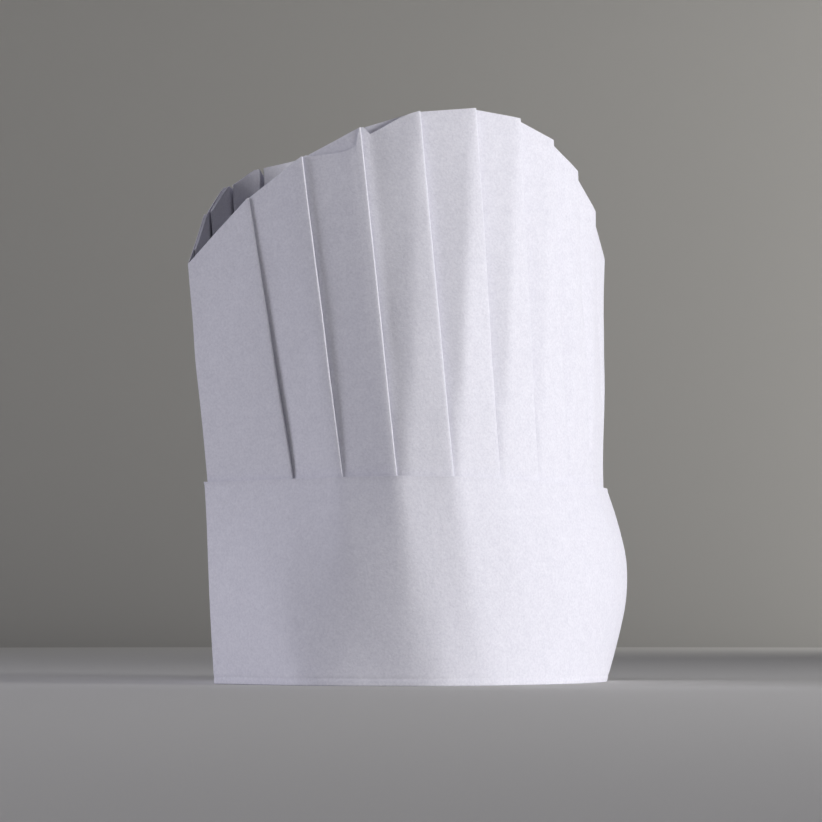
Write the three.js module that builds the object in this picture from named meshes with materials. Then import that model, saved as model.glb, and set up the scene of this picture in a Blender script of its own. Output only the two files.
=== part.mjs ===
// A tall pleated chef's hat in white non-woven cloth, standing on the lower rim of its headband.
// Millimetres, +Z up. The front crease faces -Y and the wearer's left side faces +X. The two
// sides of the hat mirror each other in the plane x = 0, which holds its front and back creases.
import * as THREE from "three";

// Headband
const BAND_HEIGHT = 92;
const BAND_WALL = 1.2;
const BAND_ROWS = 8;
const BAND_STEPS = 48; // along one side of the hat
const SEAM_GAP = 0.3; // between the band and the crown's margin inside it

// Crown
const CROWN_WALL = 1.0;
const LAYER_GAP = 0.35; // between the layers of a pleat
const LAYER = CROWN_WALL + LAYER_GAP;
const MARGIN = 14; // how far the crown's lower edge goes down inside the band
const TOP_FRONT = 192; // height of the cut top edge at the front crease
const TOP_BACK = 206; // and at the back crease
const TOP_BOW = 61; // how far it rises between them, in the middle of a side
const CROWN_ROWS = 6; // between the band's top edge and the cut edge
const FRONT_STEPS = 3; // along the plain panel at the front crease

// The front panel's width as a share of a side. The other panels share the rest evenly.
const FRONT_PANEL = { band: 0.17, top: 0.122 };

// One row for each ridge of a side, from the front. A ridge is a fold whose edge points back and
// laps over the next panel. underlap: how far that panel goes on forward beneath the ridge.
// knee: where its soft diagonal crease meets the top edge, as a share of its width. gape: how far
// the pleat stands open at mid height.
const PLEATS = [
  { underlap: 11, knee: 0.2, gape: 2.6 },
  { underlap: 11, knee: 0.5, gape: 2.6 },
  { underlap: 11, knee: 0.85, gape: 2.2 },
  { underlap: 10, knee: 0.92, gape: 1.2 },
  { underlap: 10, knee: 0.92, gape: 1.0 },
  { underlap: 10, knee: 0.92, gape: 0.8 },
  { underlap: 10, knee: 0.92, gape: 0.6 },
  { underlap: 9, knee: 0.92, gape: 0.6 },
  { underlap: 9, knee: 0.92, gape: 0.6 },
];
const KNEE_AT_BAND = 0.13; // the same share at the band's top edge, where the creases start

// Outlines of one side seen from above, a row for each level. The outline runs straight from the
// front crease for the length flat, bends round the temple to its widest place, half out from
// the middle plane, and curves in to the back crease. front, widest and back lie on Y, and the
// angles are between the outline and the Y axis at each crease, in degrees.
const SECTIONS = [
  { height: 0, front: -99, flat: 48, frontAngle: 63, widest: -9, back: 97, backAngle: 88 },
  { height: 24, front: -100.5, flat: 56, frontAngle: 62.5, widest: -12, back: 106.5, backAngle: 86 },
  { height: 48, front: -102, flat: 64, frontAngle: 62, widest: -15, back: 113.5, backAngle: 82 },
  { height: 70, front: -103, flat: 72, frontAngle: 61, widest: -19, back: 111.5, backAngle: 77 },
  { height: BAND_HEIGHT, front: -104.5, flat: 79, frontAngle: 59, widest: -22, back: 105, backAngle: 71 },
];
const BAND_HALF = 90;
const TOP_SECTION = { front: -113.5, flat: 34, frontAngle: 56, widest: -4, back: 105.5, backAngle: 57 };
const TOP_HALF = 75.5;

// How far the outline's curve handles reach, as shares of the run or width that they span
const HANDLES = { temple: 0.37, side: 0.27, back: 0.63 };

const { lerp, degToRad } = THREE.MathUtils;

// The band's section at a height, blended from the rows of the table that it lies between.
function sectionAt(height) {
  const upper = Math.max(1, SECTIONS.findIndex((row) => row.height >= height));
  const low = SECTIONS[upper - 1];
  const high = SECTIONS[upper];
  const share = (height - low.height) / (high.height - low.height);
  const blended = Object.keys(low).map((column) => [column, lerp(low[column], high[column], share)]);
  return Object.fromEntries(blended);
}

// The outline of one side at a section, from the front crease to the back crease.
function outlineOf(section, half) {
  const { front, flat, frontAngle, widest, back, backAngle } = section;
  const ahead = new THREE.Vector2(Math.sin(degToRad(frontAngle)), Math.cos(degToRad(frontAngle)));
  const inward = new THREE.Vector2(-Math.sin(degToRad(backAngle)), Math.cos(degToRad(backAngle)));
  const crease = new THREE.Vector2(0, front);
  const temple = crease.clone().addScaledVector(ahead, flat);
  const side = new THREE.Vector2(half, widest);
  const backCrease = new THREE.Vector2(0, back);
  const bend = HANDLES.temple * side.distanceTo(temple);
  const path = new THREE.CurvePath();
  path.add(new THREE.LineCurve(crease, temple));
  path.add(
    new THREE.CubicBezierCurve(
      temple,
      temple.clone().addScaledVector(ahead, bend),
      new THREE.Vector2(half, widest - bend),
      side,
    ),
  );
  path.add(
    new THREE.CubicBezierCurve(
      side,
      new THREE.Vector2(half, widest + HANDLES.side * (back - widest)),
      backCrease.clone().addScaledVector(inward, -HANDLES.back * half),
      backCrease,
    ),
  );
  return path;
}

// The place on an outline at a share of its length, moved inwards. Places at the creases stay in
// the middle plane.
function placeOn(outline, share, inset) {
  const place = outline.getPointAt(share);
  const tangent = outline.getTangentAt(share);
  if (share === 0 || share === 1) return new THREE.Vector2(0, place.y + inset / tangent.x);
  return place.addScaledVector(new THREE.Vector2(-tangent.y, tangent.x), inset);
}

// A ring of points round the hat, from one side's points and their mirror image.
function wholeRing(side) {
  const mirrored = side.slice(1, -1).reverse();
  return [...side, ...mirrored.map(({ x, y, z }) => new THREE.Vector3(-x, y, z))];
}

// A ring moved outwards by a distance, each point at its own height and sharp corners kept.
function ringMovedOut(ring, distance) {
  const direction = (from, to) => new THREE.Vector2(to.x - from.x, to.y - from.y).normalize();
  return ring.map((point, i) => {
    const arriving = direction(ring[(i + ring.length - 1) % ring.length], point);
    const leaving = direction(point, ring[(i + 1) % ring.length]);
    const reach = distance / (1 + arriving.dot(leaving));
    const outward = new THREE.Vector3(arriving.y + leaving.y, -arriving.x - leaving.x, 0);
    return point.clone().addScaledVector(outward, reach);
  });
}

// A closed shell between an outer and an inner wall, each given as rings from the lowest up.
function shellGeometry(outerRings, innerRings) {
  const steps = outerRings[0].length;
  const rows = outerRings.length;
  const outer = (row, step) => row * steps + (step % steps);
  const inner = (row, step) => (rows + row) * steps + (step % steps);
  const index = [];
  const quad = (a, b, c, d) => index.push(a, b, c, a, c, d);
  for (let step = 0; step < steps; step += 1) {
    const next = step + 1;
    for (let row = 0; row < rows - 1; row += 1) {
      quad(outer(row, step), outer(row, next), outer(row + 1, next), outer(row + 1, step));
      quad(inner(row, next), inner(row, step), inner(row + 1, step), inner(row + 1, next));
    }
    quad(inner(0, step), inner(0, next), outer(0, next), outer(0, step));
    quad(outer(rows - 1, step), outer(rows - 1, next), inner(rows - 1, next), inner(rows - 1, step));
  }
  const geometry = new THREE.BufferGeometry();
  geometry.setFromPoints([...outerRings.flat(), ...innerRings.flat()]);
  geometry.setIndex(index);
  geometry.computeVertexNormals();
  return geometry;
}

// Headband: a plain wall that follows the outlines.
function headbandGeometry() {
  const ringAt = (height, inset) => {
    const outline = outlineOf(sectionAt(height), BAND_HALF);
    const side = [];
    for (let step = 0; step <= BAND_STEPS; step += 1) {
      const { x, y } = placeOn(outline, step / BAND_STEPS, inset);
      side.push(new THREE.Vector3(x, y, height));
    }
    return wholeRing(side);
  };
  const heights = [];
  for (let row = 0; row <= BAND_ROWS; row += 1) heights.push((BAND_HEIGHT * row) / BAND_ROWS);
  return shellGeometry(
    heights.map((height) => ringAt(height, 0)),
    heights.map((height) => ringAt(height, BAND_WALL)),
  );
}

// The middle of the crown's wall along one side: the front panel, then at each ridge the fold,
// the layer under it, the hidden fold and the next panel's rise to its knee. The columns come in
// the same order at every level. kneeOf gives the knee's share of a pleat's panel there.
function pleatedSide(outline, inset, frontPanel, kneeOf) {
  const length = outline.getLength();
  const panel = (1 - frontPanel) / PLEATS.length;
  const side = [];
  const addColumn = (share, depth, gape = 0) => {
    side.push({ share, gape, place: placeOn(outline, share, inset + CROWN_WALL / 2 + depth) });
  };
  for (let step = 0; step < FRONT_STEPS; step += 1) addColumn((frontPanel * step) / FRONT_STEPS, 0);
  PLEATS.forEach((pleat, i) => {
    const edge = frontPanel + panel * i;
    const hidden = edge - pleat.underlap / length;
    addColumn(edge, 0);
    addColumn(edge, LAYER);
    addColumn(hidden, LAYER, pleat.gape);
    addColumn(hidden, 2 * LAYER, pleat.gape);
    addColumn(edge, 2 * LAYER, pleat.gape);
    addColumn(edge + panel * kneeOf(pleat), 0);
  });
  addColumn(1, 0);
  return side;
}

// Height of the cut top edge at a share of the way from the front crease to the back crease.
function topEdge(share) {
  return lerp(TOP_FRONT, TOP_BACK, share) + TOP_BOW * 4 * share * (1 - share);
}

// Crown: a pleated wall whose columns run straight from the band's top edge to the cut edge, and
// whose margin goes on down inside the band.
function crownGeometry() {
  const sideAtBand = (height) => {
    const outline = outlineOf(sectionAt(height), BAND_HALF);
    return pleatedSide(outline, BAND_WALL + SEAM_GAP, FRONT_PANEL.band, () => KNEE_AT_BAND);
  };
  const topOutline = outlineOf(TOP_SECTION, TOP_HALF);
  const top = pleatedSide(topOutline, 0, FRONT_PANEL.top, (pleat) => pleat.knee);
  const base = sideAtBand(BAND_HEIGHT);

  const levels = [BAND_HEIGHT - MARGIN, BAND_HEIGHT - MARGIN / 2].map((height) =>
    sideAtBand(height).map(({ place }) => new THREE.Vector3(place.x, place.y, height)),
  );
  for (let row = 0; row <= CROWN_ROWS; row += 1) {
    const rise = row / CROWN_ROWS;
    const openness = 4 * rise * (1 - rise);
    const side = base.map(({ place, gape }, i) => {
      const { x, y } = place.clone().lerp(top[i].place, rise);
      const drawnIn = 1 - (gape * openness) / Math.hypot(x, y);
      const height = lerp(BAND_HEIGHT, topEdge(top[i].share), rise);
      return new THREE.Vector3(x * drawnIn, y * drawnIn, height);
    });
    levels.push(side);
  }
  const wallAt = (distance) => levels.map((side) => ringMovedOut(wholeRing(side), distance));
  return shellGeometry(wallAt(CROWN_WALL / 2), wallAt(-CROWN_WALL / 2));
}

const hat = new THREE.Group();
const pieces = { headband: headbandGeometry, crown: crownGeometry };
for (const [name, geometryOf] of Object.entries(pieces)) {
  const cloth = new THREE.MeshStandardMaterial({ color: "#eeedf3", roughness: 0.85, metalness: 0 });
  const piece = new THREE.Mesh(geometryOf(), cloth);
  piece.name = name;
  hat.add(piece);
}

export default hat;
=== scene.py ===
import math

import bpy
import numpy as np
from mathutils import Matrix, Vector, noise


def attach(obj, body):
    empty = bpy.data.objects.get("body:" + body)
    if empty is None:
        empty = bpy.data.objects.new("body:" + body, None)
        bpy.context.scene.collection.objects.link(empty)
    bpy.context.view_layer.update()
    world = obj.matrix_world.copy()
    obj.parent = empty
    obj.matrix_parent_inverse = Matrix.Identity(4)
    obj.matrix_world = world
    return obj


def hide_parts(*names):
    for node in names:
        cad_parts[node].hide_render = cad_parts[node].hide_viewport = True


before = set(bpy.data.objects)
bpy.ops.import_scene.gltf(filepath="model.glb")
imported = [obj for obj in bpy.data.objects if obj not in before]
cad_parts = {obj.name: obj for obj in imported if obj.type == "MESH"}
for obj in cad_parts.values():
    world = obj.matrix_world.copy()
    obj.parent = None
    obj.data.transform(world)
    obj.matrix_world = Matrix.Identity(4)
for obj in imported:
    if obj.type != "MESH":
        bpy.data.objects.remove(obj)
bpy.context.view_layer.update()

# A tall pleated chef's hat in white non-woven cloth, standing on the rim of its headband.
# Sizes are millimetres until a mesh is made. The front crease faces -Y and up is +Z. The two
# sides of the hat mirror each other, so one side is worked out, from front crease to back crease.
MM = 0.001
CRISP_ANGLE = math.radians(38)  # where the cloth turns more sharply, the edge shows as a crease

# Headband: cloth folded double along its rim
BAND_HEIGHT = 92
BAND_HALF = 90  # from the middle plane to the hat's widest place
BAND_OUTER = 0.25  # depth of the outer layer's middle below the hat's outline
BAND_INNER = 0.95  # and of the inner layer's
INNER_SHORT = 1  # how far below the band's top edge the inner layer ends
BAND_CLOTH = 0.4
BAND_COLUMNS = 170  # along one side
BAND_ROWS = 40
HEM_ROWS = 16  # between the rim and HEM_TOP, where the hem's line runs
HEM_TOP = 6
RIM_STEPS = 6
HEM_LINE = {"height": 3.2, "depth": 0.22, "width": 0.7}  # a pressed groove above the rim
LIP = {"height": 1.6, "out": 0.3}  # the top edge curls out a little

# Crown: one strip of cloth in knife pleats, its lower margin inside the band
CROWN_CLOTH = 0.3
CROWN_DEPTH = {"band": 1.7, "top": 0.2}  # its middle below the outline
MARGIN = 14
TOP_FRONT = 192  # height of the cut top edge at the front crease
TOP_BACK = 206  # and at the back crease
TOP_BOW = 61  # how far it rises between them
CROWN_ROWS = 46
MARGIN_ROWS = 3
STATIONS = 18  # across one panel
ACROSS = np.linspace(0, 1, STATIONS)
FRONT_PANEL = {"band": 0.17, "top": 0.122}  # its share of a side. The others share the rest evenly
SOFT_BEND = 2.4  # half the width of a panel's soft diagonal bend
OUTLINE_HOLD = 0.3  # the share of the crown's rise over which its panels turn from curved to flat

# Pleats: at each ridge the cloth folds back under its panel, folds again out of sight, and comes
# out as the next panel
FOLD_RADIUS = {"closed": 0.24, "open": 0.6}
FULL_GAPE = 1.5  # a pleat that gapes this far has the open radius
GAPE_TAIL = 1.3  # how quickly a pleat closes above its peak
LAYER = 0.38  # between the two hidden layers of a closed pleat
UNDERLAP = 24  # how far they go under the panel
HIDDEN_RADIUS = 0.22  # of the fold between them
FOLD_STEPS = 6
HIDDEN_STEPS = 4
UNDER_STEPS = 6  # along each hidden layer
SHARES_BACK = np.linspace(0, 1, UNDER_STEPS + 2)[1:-1]
BEFORE_FOLD = 2  # the hidden fold takes its direction from a place this far before it

# A row for each ridge of a side, from the front. foot and knee: where the next panel's soft
# diagonal bend meets the band and the top edge, as shares of its width. gape: how far the pleat
# stands open where it gapes most, peak: where up the crown that is, and tip: how far it stands
# open at the top edge.
RIDGES = [
    {"foot": 0.85, "knee": 0.85, "gape": 0.6, "peak": 0.26, "tip": 0.2},
    {"foot": 0.85, "knee": 0.85, "gape": 0.7, "peak": 0.30, "tip": 0.6},
    {"foot": 0.26, "knee": 0.92, "gape": 0.7, "peak": 0.28, "tip": 0.8},
    {"foot": 0.15, "knee": 0.94, "gape": 1.3, "peak": 0.42, "tip": 1.2},
    {"foot": 0.13, "knee": 0.94, "gape": 2.2, "peak": 0.48, "tip": 1.5},
    {"foot": 0.12, "knee": 0.94, "gape": 2.3, "peak": 0.48, "tip": 1.4},
    {"foot": 0.12, "knee": 0.94, "gape": 2.2, "peak": 0.45, "tip": 1.2},
    {"foot": 0.12, "knee": 0.94, "gape": 1.9, "peak": 0.45, "tip": 1.0},
    {"foot": 0.12, "knee": 0.94, "gape": 1.7, "peak": 0.45, "tip": 0.8},
]

# How far the cut edge of a panel's outer layer lies below the arc, at its two ends. The panels
# go from the front crease to the back crease, and a panel that isn't here keeps to the arc.
CUT_DIPS = {2: (1.5, 8.0), 3: (4.6, 0.0)}
CUT_START = 0.07  # the share of a panel at which its edge starts to dip
CUT_RAMP = 0.1  # the share over which it then comes down
CUT_SETTLED = 0.9  # the share from which it has its second depth
CUT_CORNER = 0.97  # beyond this share of a panel its edge goes up to the ridge's tip

# Outlines of one side seen from above, a row for each level. The outline runs straight from the
# front crease for the length flat, bends round the temple to its widest place, and curves in to
# the back crease. The angles are between it and the Y axis at each crease. facets is how far the
# pleats' corners show in it.
COLUMNS = ("height", "front", "flat", "front_angle", "widest", "back", "back_angle", "facets")
SECTIONS = [
    dict(zip(COLUMNS, row))
    for row in (
        (0, -99, 48, 63, -9, 97, 88, 0.0),
        (24, -100.5, 56, 62.5, -12, 106.5, 86, 0.15),
        (48, -102, 64, 62, -15, 113.5, 82, 0.4),
        (70, -103, 72, 61, -19, 111.5, 77, 0.8),
        (92, -104.5, 79, 59, -22, 105, 71, 1.0),
    )
]
TOP_SECTION = dict(zip(COLUMNS, (260, -113.5, 34, 56, -4, 105.5, 57, 0.0)))
TOP_HALF = 75.5
HANDLES = {"temple": 0.37, "side": 0.27, "back": 0.63}  # the curves' reach, as shares of their run
SECTION_BLEND = 14  # half the height over which neighbouring rows blend
CURVE_STEPS = 160
OUTLINE_STEPS = 600
FACET_BEND = 3.5  # half the width of a corner where a pleat meets the band
ON_CREASE = 1e-6  # a share this near to 0 or 1 lies on a crease

# Soft bends down the band: how far from the front crease each one lies at the rim and at the
# band's top edge, how far it stands out there, and how wide it is before and after.
BENDS = [
    {"rim": 58, "top": 19, "stands": (6.0, 3.4), "before": (58, 19), "after": (34, 34), "soft": 9},
    {"rim": 116, "top": 103, "stands": (1.2, 0.5), "before": (20, 16), "after": (20, 16), "soft": 5},
    {"rim": 141, "top": 130, "stands": (0.5, 0.7), "before": (12, 12), "after": (14, 14), "soft": 2.5},
]

# A corner is softened by averaging places to both sides of it, over its reach
SPREAD = np.linspace(-1, 1, 9)

# The cloth's unevenness, a row for each size of swell: how many there are in a radian round the
# hat, how high one is, where its pattern starts, and its share of the whole.
SWELLS = [
    {"round": 2.2, "height": 55, "start": 0, "share": 1},
    {"round": 6.5, "height": 24, "start": 9, "share": 0.35},
]
BAND_SWELL = 0.3
CROWN_SWELL = 0.9
SWELL_RISE = 60  # height above the band at which the crown's swell is full


def smooth(value):
    """Eases a share from 0 to 1, with level ends."""
    share = np.clip(value, 0, 1)
    return share * share * (3 - 2 * share)


def unit(vectors):
    return vectors / np.linalg.norm(vectors, axis=-1, keepdims=True)


def turned_inward(tangents):
    """Directions into the hat from directions along its outline."""
    return np.stack([-tangents[..., 1], tangents[..., 0]], axis=-1)


def distances_along(path):
    """How far along a path each of its places lies."""
    steps = np.linalg.norm(np.diff(path, axis=0), axis=1)
    return np.concatenate([[0], np.cumsum(steps)])


def read(path, at, known):
    """The places of a path at distances or shares between those known for its own places."""
    return np.stack([np.interp(at, known, path[:, axis]) for axis in (0, 1)], axis=-1)


def section_at(height):
    """The band's section at a height, blended smoothly from the rows of the table around it."""
    heights = [row["height"] for row in SECTIONS]
    reach = min(SECTION_BLEND, height, BAND_HEIGHT - height)
    near = height + reach * SPREAD
    section = {}
    for column in COLUMNS:
        section[column] = float(np.interp(near, heights, [row[column] for row in SECTIONS]).mean())
    return section


def bends_at(height, distances):
    """How far the band stands out at distances round one side from the front crease."""
    share = height / BAND_HEIGHT
    total = np.zeros(len(distances))
    for bend in BENDS:
        middle = bend["rim"] + (bend["top"] - bend["rim"]) * share
        ends = (bend[name] for name in ("stands", "before", "after"))
        stands, before, after = (at_rim + (at_top - at_rim) * share for at_rim, at_top in ends)
        near = distances + bend["soft"] * SPREAD[:, None]
        ramp = np.interp(near, [middle - before, middle, middle + after], [0, 1, 0]).mean(axis=0)
        total += stands * (ramp - ramp[0] * np.clip(1 - distances / bend["soft"], 0, 1))
    return total


def ridge_shares(front_panel):
    """How far round a side each ridge lies."""
    return front_panel + (1 - front_panel) * np.arange(len(RIDGES)) / len(RIDGES)


def curve(start, leaving, arriving, end):
    """A Bezier curve between two places, with a handle at each."""
    t = np.linspace(0, 1, CURVE_STEPS)[:, None]
    near_start = (1 - t) ** 3 * start + 3 * (1 - t) ** 2 * t * leaving
    return near_start + 3 * (1 - t) * t**2 * arriving + t**3 * end


class Outline:
    """The plan of one side of the hat at a level, from the front crease to the back crease."""

    def __init__(self, section, half):
        front_angle = math.radians(section["front_angle"])
        back_angle = math.radians(section["back_angle"])
        ahead = np.array([math.sin(front_angle), math.cos(front_angle)])
        inward = np.array([-math.sin(back_angle), math.cos(back_angle)])
        crease = np.array([0, section["front"]])
        temple = crease + section["flat"] * ahead
        side = np.array([half, section["widest"]])
        back = np.array([0, section["back"]])
        temple_reach = HANDLES["temple"] * np.linalg.norm(side - temple)
        side_reach = HANDLES["side"] * (section["back"] - section["widest"])
        flat = crease + (temple - crease) * np.linspace(0, 1, CURVE_STEPS)[:, None]
        round_temple = curve(temple, temple + temple_reach * ahead, side - [0, temple_reach], side)
        round_back = curve(side, side + [0, side_reach], back - HANDLES["back"] * half * inward, back)
        rounded = np.vstack([flat[:-1], round_temple[:-1], round_back])
        distances = distances_along(rounded)
        length = distances[-1]
        self.shares = np.linspace(0, 1, OUTLINE_STEPS + 1)
        self.points = read(rounded, self.shares, distances / length)
        self.tangents = unit(np.gradient(self.points, axis=0))
        if section["height"] <= BAND_HEIGHT:
            stands_out = bends_at(section["height"], self.shares * length)
            self.points -= stands_out[:, None] * self.inward(self.shares)
            self.points += section["facets"] * (self.faceted(length) - self.points)
            self.tangents = unit(np.gradient(self.points, axis=0))

    def faceted(self, length):
        """The outline drawn flat from each ridge's foot to the next, with softened corners."""
        feet = np.array([0, *ridge_shares(FRONT_PANEL["band"]), 1])
        corners = read(self.points, feet, self.shares)
        reach = np.minimum(FACET_BEND / length, np.minimum(self.shares, 1 - self.shares))
        near = self.shares + reach * SPREAD[:, None]
        return read(corners, near, feet).mean(axis=0)

    def ahead(self, share):
        return unit(read(self.tangents, share, self.shares))

    def inward(self, share):
        return turned_inward(self.ahead(share))

    def at(self, share, depth):
        """The places at shares of the outline, moved inwards. A crease stays in the middle plane."""
        tangent = self.ahead(share)
        middle = (share < ON_CREASE) | (share > 1 - ON_CREASE)
        place = read(self.points, share, self.shares)
        on_crease = place + np.stack([0 * share, depth / tangent[..., 0]], axis=-1)
        moved = place + self.inward(share) * depth
        return np.where(middle[..., None], on_crease, moved)


def panel_level(outline, depth, front_panel, bend_name):
    """Where a side's ridges, soft bends and panels lie at one level."""
    starts = np.array([0, *ridge_shares(front_panel)])
    ends = np.array([*starts[1:], 1])
    across = starts[:, None] + (ends - starts)[:, None] * ACROSS
    front_middle = 0.5  # the front panel has no bend, and its middle stands in
    bends = np.array([front_middle, *(ridge[bend_name] for ridge in RIDGES)])
    return {
        "ends": outline.at(ends, depth),
        "ahead": outline.ahead(ends),
        "inward": outline.inward(ends),
        "bends": outline.at(starts + (ends - starts) * bends, depth),
        "along": outline.at(across, depth),
        "along_inward": outline.inward(across),
    }


def openness(ridge, rise):
    """How open a ridge's pleat stands at a rise up the crown, 1 where it gapes most."""
    peak = ridge["peak"]
    lead = GAPE_TAIL * peak / (1 - peak)
    most = peak**lead * (1 - peak) ** GAPE_TAIL
    return rise**lead * (1 - rise) ** GAPE_TAIL / most


def softly_bent(corners):
    """STATIONS places along a path through the corners, with its inner corner rounded."""
    distances = distances_along(corners)
    length = distances[-1]
    places = np.linspace(0, length, STATIONS)
    reach = np.minimum(SOFT_BEND, np.minimum(places, length - places))
    near = places + reach * SPREAD[:, None]
    return read(corners, near, distances).mean(axis=0)


def beside(path, back, depth):
    """The places at distances back from a path's end, moved inwards from it."""
    distances = distances_along(path)
    along = distances[-1] - np.asarray(back, float)
    tangents = unit(np.gradient(path, axis=0))
    inward = unit(turned_inward(read(tangents, along, distances)))
    return read(path, along, distances) + inward * np.asarray(depth, float)[..., None]


def half_turn(centre, start, towards, steps):
    """The places round a fold, from start about centre, by way of the direction towards."""
    arm = start - centre
    radius = np.linalg.norm(arm)
    angles = np.linspace(0, math.pi, steps + 1)[:, None]
    return centre + arm * np.cos(angles) + towards * radius * np.sin(angles)


def shown_layer(level, panel, start, end, rise):
    """The layer of a panel that shows, from where it comes out of one pleat to the next fold."""
    on_outline = level["along"][panel]
    if panel == 0:
        bend = (start + end) / 2
    else:
        bend = level["bends"][panel]
        depth = np.linalg.norm(start - level["ends"][panel - 1])
        sunk = np.clip(1 - ACROSS / RIDGES[panel - 1]["foot"], 0, 1)[:, None]
        on_outline = on_outline + level["along_inward"][panel] * depth * sunk
    bent = softly_bent(np.array([start, bend, end]))
    held = np.vstack([bent[:1], on_outline[1:-1], bent[-1:]])
    hold = 1 - smooth(rise / OUTLINE_HOLD)
    return bent * (1 - hold) + held * hold


def hidden_layers(shown, first_depth, last_depth):
    """A pleat's two hidden layers behind the layer that shows, and the fold that joins them.

    The first layer starts at first_depth beneath the shown one, and the second lies at
    last_depth."""
    fold_depth = last_depth - 2 * HIDDEN_RADIUS
    outer, inner, before = beside(
        shown,
        [UNDERLAP, UNDERLAP, UNDERLAP - BEFORE_FOLD],
        [fold_depth, last_depth, fold_depth],
    )
    fold = half_turn((outer + inner) / 2, outer, unit(outer - before), HIDDEN_STEPS)
    back = UNDERLAP * SHARES_BACK
    first = beside(shown, back, first_depth + (fold_depth - first_depth) * SHARES_BACK)
    second = beside(shown, back, np.full(UNDER_STEPS, last_depth))[::-1]
    return first, fold, second


def side_path(level, rise):
    """One side of the crown's cloth at a level, from the front crease to the back crease.

    Gives each column's place in the plan, and where the cut edge passes it: the panel it belongs
    to, how far across that panel it lies, and how much of the panel's dip it has."""
    columns = {"places": [], "panel": [], "across": [], "dipped": []}

    def add(panel, places, across, dipped):
        columns["places"].append(places)
        columns["panel"].append(np.full(len(places), panel))
        columns["across"].append(np.broadcast_to(across, len(places)))
        columns["dipped"].append(np.full(len(places), dipped))

    start = level["along"][0][0]
    for panel, ridge in enumerate(RIDGES):
        end, ahead, inward = (level[name][panel] for name in ("ends", "ahead", "inward"))
        gape = ridge["gape"] * openness(ridge, rise) + ridge["tip"] * rise
        opened = min(gape / FULL_GAPE, 1)
        radius = FOLD_RADIUS["closed"] + (FOLD_RADIUS["open"] - FOLD_RADIUS["closed"]) * opened
        landing = 2 * radius + LAYER + gape
        fold_start = end - ahead * radius
        shown = shown_layer(level, panel, start, fold_start, rise)
        fold = half_turn(fold_start + inward * radius, fold_start, ahead, FOLD_STEPS)[1:]
        first, hidden_fold, second = hidden_layers(shown, 2 * radius, landing)
        hidden_share = 1 - UNDERLAP / np.linalg.norm(end - level["along"][panel][0])
        back_shares = 1 + (hidden_share - 1) * SHARES_BACK
        add(panel, shown, ACROSS, 1)
        add(panel, fold, 1, 0)
        add(panel, first, back_shares, 0)
        add(panel, hidden_fold, hidden_share, 0)
        add(panel, second, back_shares[::-1], 0)
        start = fold_start + inward * landing
    last = len(RIDGES)
    add(last, shown_layer(level, last, start, level["ends"][last], rise), ACROSS, 1)
    return tuple(np.concatenate(column) for column in columns.values())


def top_edge(share):
    """Height of the arc along the top, which runs straight from each ridge to the next."""
    tips = np.array([0, *ridge_shares(FRONT_PANEL["top"]), 1])
    heights = TOP_FRONT + (TOP_BACK - TOP_FRONT) * tips + TOP_BOW * 4 * tips * (1 - tips)
    return np.interp(share, tips, heights)


def cut_heights(panel_of, across, dipped):
    """Heights of the cut edge at columns of a side, as side_path gives them."""
    starts = np.array([0, *ridge_shares(FRONT_PANEL["top"]), 1])
    widths = np.diff(starts)
    heights = top_edge(starts[panel_of] + widths[panel_of] * across)
    for panel, (first, second) in CUT_DIPS.items():
        inside = (panel_of == panel) & (across < CUT_CORNER)
        depth = first + (second - first) * smooth(across / CUT_SETTLED)
        dip = depth * smooth((across - CUT_START) / CUT_RAMP)
        heights = heights - np.where(inside, dip * dipped, 0)
    return heights


def both_sides(rings):
    """Whole rings, from one side's columns and their mirror image."""
    mirrored = rings[:, 1:-1][:, ::-1] * [-1, 1, 1]
    return np.concatenate([rings, mirrored], axis=1)


def crown_rings():
    """Rings of the crown's cloth, from the margin's edge up to the cut edge."""

    def band_level(height):
        outline = Outline(section_at(height), BAND_HALF)
        return panel_level(outline, CROWN_DEPTH["band"], FRONT_PANEL["band"], "foot")

    base = band_level(BAND_HEIGHT)
    top = panel_level(Outline(TOP_SECTION, TOP_HALF), CROWN_DEPTH["top"], FRONT_PANEL["top"], "knee")
    rings = []
    for row in range(MARGIN_ROWS):
        height = BAND_HEIGHT - MARGIN * (1 - row / MARGIN_ROWS)
        places = side_path(band_level(height), 0)[0]
        rings.append(np.column_stack([places, np.full(len(places), height)]))
    for row in range(CROWN_ROWS + 1):
        rise = row / CROWN_ROWS
        level = {name: base[name] * (1 - rise) + top[name] * rise for name in base}
        places, *cut = side_path(level, rise)
        heights = BAND_HEIGHT + (cut_heights(*cut) - BAND_HEIGHT) * rise
        rings.append(np.column_stack([places, heights]))
    return both_sides(np.array(rings))


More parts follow.
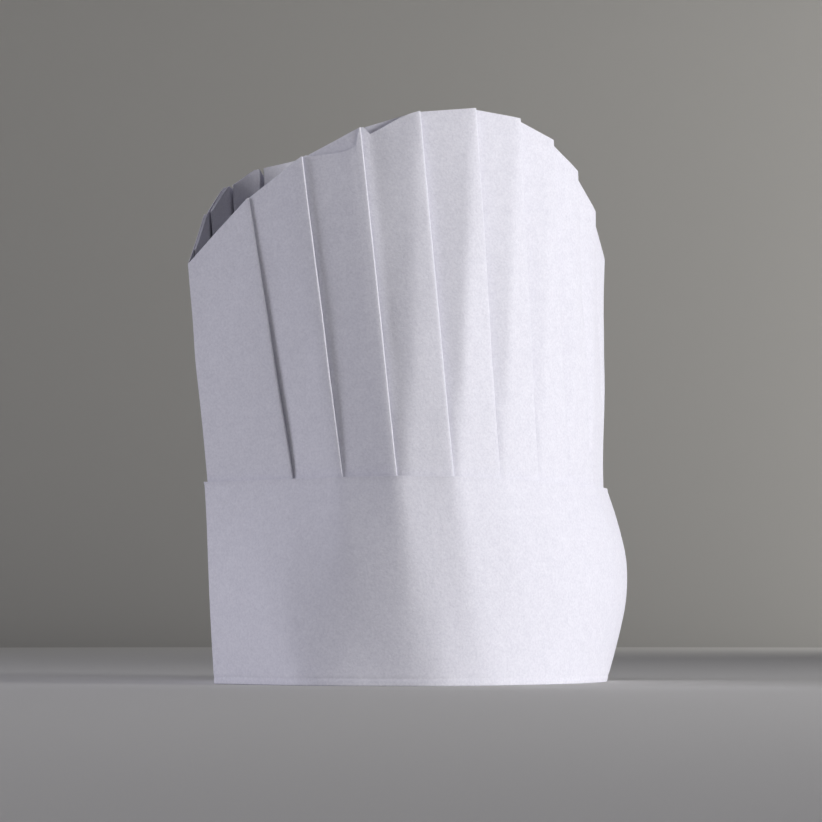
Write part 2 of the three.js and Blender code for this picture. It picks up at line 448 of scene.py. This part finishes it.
def band_rings():
    """Rings of the band's cloth: down the outer layer, round the rim and up the inner layer."""
    radius = (BAND_INNER - BAND_OUTER) / 2
    lifted = radius + BAND_CLOTH / 2
    lip_foot = BAND_HEIGHT - LIP["height"]
    wall = np.linspace(lip_foot, HEM_TOP, BAND_ROWS)
    hem = np.linspace(HEM_TOP, lifted, HEM_ROWS + 1)[1:]
    rows = [(height, BAND_OUTER) for height in (BAND_HEIGHT, lip_foot + LIP["height"] / 2, *wall, *hem)]
    for angle in np.linspace(0, math.pi, RIM_STEPS + 1)[1:-1]:
        rows.append((lifted - radius * math.sin(angle), BAND_OUTER + radius - radius * math.cos(angle)))
    inner = np.linspace(lifted, BAND_HEIGHT - INNER_SHORT, BAND_ROWS)
    rows += [(height, BAND_INNER) for height in inner]
    shares = np.linspace(0, 1, BAND_COLUMNS + 1)
    rings = []
    for height, depth in rows:
        if depth == BAND_OUTER:
            off_line = (height - HEM_LINE["height"]) / HEM_LINE["width"]
            depth += HEM_LINE["depth"] * math.exp(-(off_line**2))
            depth -= LIP["out"] * smooth((height - lip_foot) / LIP["height"])
        places = Outline(section_at(height), BAND_HALF).at(shares, depth)
        rings.append(np.column_stack([places, np.full(len(shares), height)]))
    return both_sides(np.array(rings))


def unevenness(x, y, z):
    """How far the cloth stands out of true at a place, between about -1 and 1."""
    angle = math.atan2(x, -y)
    total = 0
    for swell in SWELLS:
        across = math.cos(angle) * swell["round"] + swell["start"]
        along = math.sin(angle) * swell["round"]
        total += swell["share"] * noise.noise(Vector((across, along, z / swell["height"])))
    return total


def made_uneven(rings, swell_at):
    """Moves each place of the rings out or in a little, by the cloth's unevenness there."""
    moved = rings.copy()
    for place in moved.reshape(-1, 3):
        x, y, z = place
        push = swell_at(z) * unevenness(x, y, z)
        reach = math.hypot(x, y)
        place[0] += push * x / reach
        place[1] += push * y / reach
    return moved


def sheet_object(name, rings, thickness, downwards=False):
    """A sheet of cloth through the rings, with a real thickness and crisp creases.

    The rings go upwards, or first downwards along the outer layer."""
    rows, steps = rings.shape[:2]
    index = np.arange(rows * steps).reshape(rows, steps)
    right = np.roll(index, -1, axis=1)
    corners = [index[:-1], right[:-1], right[1:], index[1:]]
    if downwards:
        corners.reverse()
    faces = np.stack(corners, axis=-1).reshape(-1, 4)
    thin = bpy.data.meshes.new(name)
    thin.from_pydata((rings.reshape(-1, 3) * MM).tolist(), [], faces.tolist())
    piece = bpy.data.objects.new(name, thin)
    bpy.context.scene.collection.objects.link(piece)
    wall = piece.modifiers.new("thickness", "SOLIDIFY")
    wall.thickness = thickness * MM
    wall.offset = 0
    wall.use_even_offset = True
    bpy.context.view_layer.update()
    whole = bpy.data.meshes.new_from_object(piece.evaluated_get(bpy.context.evaluated_depsgraph_get()))
    piece.modifiers.clear()
    piece.data = whole
    bpy.data.meshes.remove(thin)
    whole.shade_smooth()
    whole.set_sharp_from_angle(angle=CRISP_ANGLE)
    return piece


class Value:
    """A shader socket that can be added, multiplied and so on."""

    def __init__(self, paint, socket):
        self.paint = paint
        self.socket = socket

    def _maths(self, operation, first, second):
        return self.paint.node("ShaderNodeMath", {"operation": operation}, {0: first, 1: second})

    def __add__(self, other):
        return self._maths("ADD", self, other)

    def __sub__(self, other):
        return self._maths("SUBTRACT", self, other)

    def __rsub__(self, other):
        return self._maths("SUBTRACT", other, self)

    def __mul__(self, other):
        return self._maths("MULTIPLY", self, other)

    __radd__ = __add__
    __rmul__ = __mul__


class Paint:
    """A material made from nodes."""

    def __init__(self, name):
        self.material = bpy.data.materials.new(name)
        self.material.use_nodes = True
        self.tree = self.material.node_tree
        self.surface = next(node for node in self.tree.nodes if node.type == "BSDF_PRINCIPLED")

    def node(self, kind, settings, sockets, output=0):
        """Adds a node, with its settings first and then its sockets' values and links."""
        made = self.tree.nodes.new(kind)
        for name, value in settings.items():
            setattr(made, name, value)
        self.feed(made, sockets)
        return Value(self, made.outputs[output])

    def feed(self, node, sockets):
        for name, value in sockets.items():
            if isinstance(value, Value):
                self.tree.links.new(value.socket, node.inputs[name])
            else:
                node.inputs[name].default_value = value


# Cloth: a flat web of fine fibres. Its colour goes from thin, at its thinnest places, to thick.
# The scales of its patterns are for a metre.
CLOTHS = {
    "crown_cloth": {"thick": (0.92, 0.916, 0.982, 1), "thin": (0.725, 0.721, 0.8, 1)},
    "band_cloth": {"thick": (0.92, 0.916, 0.985, 1), "thin": (0.73, 0.726, 0.808, 1)},
}
WEB = {"Scale": 520.0, "Detail": 4.0, "Roughness": 0.6, "Distortion": 0.6}
CLOUDS = {"Scale": 190.0, "Detail": 4.0, "Roughness": 0.72}
GRAIN = {"Scale": 900.0, "Detail": 2.0, "Roughness": 0.7}


def cloth_paint(name, thick, thin):
    """White non-woven cloth with cloudy thick and thin places and a fine grain."""
    paint = Paint(name)
    place = paint.node("ShaderNodeTexCoord", {}, {}, "Object")
    web = paint.node("ShaderNodeTexNoise", {"noise_type": "RIDGED_MULTIFRACTAL"}, {"Vector": place, **WEB})
    clouds = paint.node("ShaderNodeTexNoise", {}, {"Vector": place, **CLOUDS})
    grain = paint.node("ShaderNodeTexNoise", {}, {"Vector": place, **GRAIN})
    fill = clouds * 0.6 + grain * 1.4 - 0.5
    mixed = {"Factor": fill, "A": thin, "B": thick}
    colour = paint.node("ShaderNodeMix", {"data_type": "RGBA"}, mixed, "Result")
    height = web * 0.3 + grain * 0.3 + clouds
    bump = paint.node("ShaderNodeBump", {}, {"Strength": 0.6, "Distance": 0.0003, "Height": height})
    paint.feed(
        paint.surface,
        {
            "Base Color": colour,
            "Roughness": 0.84 + 0.06 * fill,
            "Specular IOR Level": 0.3,
            "Sheen Weight": 0.08,
            "Sheen Roughness": 0.6,
            "Normal": bump,
        },
    )
    return paint.material


def plain_paint(name, colour):
    """A matt paint of one colour."""
    paint = Paint(name)
    paint.feed(paint.surface, {"Base Color": colour, "Roughness": 0.9, "Specular IOR Level": 0.2})
    return paint.material


def crown_swell(height):
    """The crown's swell in millimetres, which grows from nothing at the band."""
    return CROWN_SWELL * float(smooth((height - BAND_HEIGHT) / SWELL_RISE))


crown = sheet_object("pleated_crown", made_uneven(crown_rings(), crown_swell), CROWN_CLOTH)
uneven_band = made_uneven(band_rings(), lambda height: BAND_SWELL)
band = sheet_object("folded_band", uneven_band, BAND_CLOTH, downwards=True)

for piece, node, slot in ((crown, "crown", "crown_cloth"), (band, "headband", "band_cloth")):
    piece.data.materials.append(cloth_paint(slot, **CLOTHS[slot]))
    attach(piece, "root")
    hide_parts(node)

# Studio: a pale floor that bends up into a round wall. From here on sizes are metres.
SWEEP_RADIUS = 3.2
SWEEP_BEND = 1.0
WALL_HEIGHT = 3.0
BEND_STEPS = 11
SWEEP_SIDES = 96
# The sweep is one paper. The floor's lighter colour is painted light from above, and the wall's darker
# colour is painted shade.
PAINTED_LIT_FLOOR_COLOUR = (0.62, 0.615, 0.59, 1)
PAINTED_SHADED_WALL_COLOUR = (0.45, 0.445, 0.42, 1)


def studio_sweep():
    """One round mesh of one paper. Its flat middle is painted lighter, as lit from above, and the rest is
    painted darker, as in shade.
    """
    profile = [(SWEEP_RADIUS - SWEEP_BEND, 0)]
    for angle in np.linspace(0, math.pi / 2, BEND_STEPS + 1)[1:]:
        radius = SWEEP_RADIUS - SWEEP_BEND * (1 - math.sin(angle))
        profile.append((radius, SWEEP_BEND * (1 - math.cos(angle))))
    profile.append((SWEEP_RADIUS, WALL_HEIGHT))
    around = np.linspace(0, 2 * math.pi, SWEEP_SIDES + 1)[:-1]
    points = [(0, 0, 0)]
    points += [(r * math.cos(a), r * math.sin(a), z) for r, z in profile for a in around]
    faces = [(0, 1 + i, 1 + (i + 1) % SWEEP_SIDES) for i in range(SWEEP_SIDES)]
    for ring in range(len(profile) - 1):
        low = 1 + ring * SWEEP_SIDES
        high = low + SWEEP_SIDES
        for i in range(SWEEP_SIDES):
            after = (i + 1) % SWEEP_SIDES
            faces.append((low + i, high + i, high + after, low + after))
    mesh = bpy.data.meshes.new("studio_sweep")
    mesh.from_pydata(points, [], faces)
    mesh.shade_smooth()
    mesh.materials.append(plain_paint("sweep_paper_painted_lit", PAINTED_LIT_FLOOR_COLOUR))
    mesh.materials.append(plain_paint("sweep_paper_painted_shaded", PAINTED_SHADED_WALL_COLOUR))
    for face in mesh.polygons:
        face.material_index = 0 if face.index < SWEEP_SIDES else 1
    made = bpy.data.objects.new("studio_sweep", mesh)
    bpy.context.scene.collection.objects.link(made)
    return made


sweep = studio_sweep()

# Camera and lights stand round AIM, a place inside the hat. The camera is at the photograph's
# angle round the hat, low but above the floor.
AIM = Vector((0, 0, 0.128))
CAMERA_AZIMUTH = 65
CAMERA_ELEVATION = -4.5
CAMERA_DISTANCE = 1.3
LENS = 120  # millimetres
SENSOR = 36  # millimetres

# A row for each soft light. stands and at: where it is and what it points at, as an azimuth, an
# elevation and a distance from AIM.
LIGHT_COLUMNS = ("name", "stands", "at", "size", "watts", "colour")
AT_HAT = (0, 0, 0)
LIGHTS = [
    dict(zip(LIGHT_COLUMNS, row))
    for row in (
        ("key", (128, 4, 1.25), AT_HAT, 0.45, 12.2, (1, 0.99, 1.0)),
        ("fill", (-20, 10, 1.9), AT_HAT, 0.9, 14.7, (1, 0.99, 1.1)),
        ("top", (60, 70, 1.7), AT_HAT, 0.9, 2.6, (1, 0.99, 1.05)),
        ("backdrop", (200, 12, 2.3), (232, 12, 3.3), 0.5, 19, (1, 0.98, 0.96)),
    )
]
AIR_COLOUR = (0.92, 0.92, 1.1, 1)
AIR_STRENGTH = 0.12


def direction(azimuth, elevation):
    """The direction from AIM at an azimuth, 0 towards -Y and 90 towards +X, and an elevation."""
    a = math.radians(azimuth)
    e = math.radians(elevation)
    return Vector((math.sin(a) * math.cos(e), -math.cos(a) * math.cos(e), math.sin(e)))


def soft_light(name, stands, at, size, watts, colour):
    """A round soft light, with its values as in a row of LIGHTS."""
    lamp = bpy.data.lights.new(name, "AREA")
    lamp.shape = "DISK"
    lamp.size = size
    lamp.energy = watts
    lamp.color = colour
    place, target = (
        AIM + direction(azimuth, elevation) * distance for azimuth, elevation, distance in (stands, at)
    )
    light = bpy.data.objects.new(name, lamp)
    light.location = place
    light.rotation_euler = (place - target).to_track_quat("Z", "Y").to_euler()
    bpy.context.scene.collection.objects.link(light)


camera = bpy.data.objects.new("camera", bpy.data.cameras.new("camera"))
camera.data.lens = LENS
camera.data.sensor_width = SENSOR
away = direction(CAMERA_AZIMUTH, CAMERA_ELEVATION)
camera.location = AIM + away * CAMERA_DISTANCE
camera.rotation_euler = (-away).to_track_quat("-Z", "Y").to_euler()
bpy.context.scene.collection.objects.link(camera)
bpy.context.scene.camera = camera

for row in LIGHTS:
    soft_light(**row)

world = bpy.data.worlds.new("studio_air")
world.use_nodes = True
air = world.node_tree.nodes["Background"]
air.inputs["Color"].default_value = AIR_COLOUR
air.inputs["Strength"].default_value = AIR_STRENGTH
bpy.context.scene.world = world
bpy.context.scene.view_settings.view_transform = "Standard"
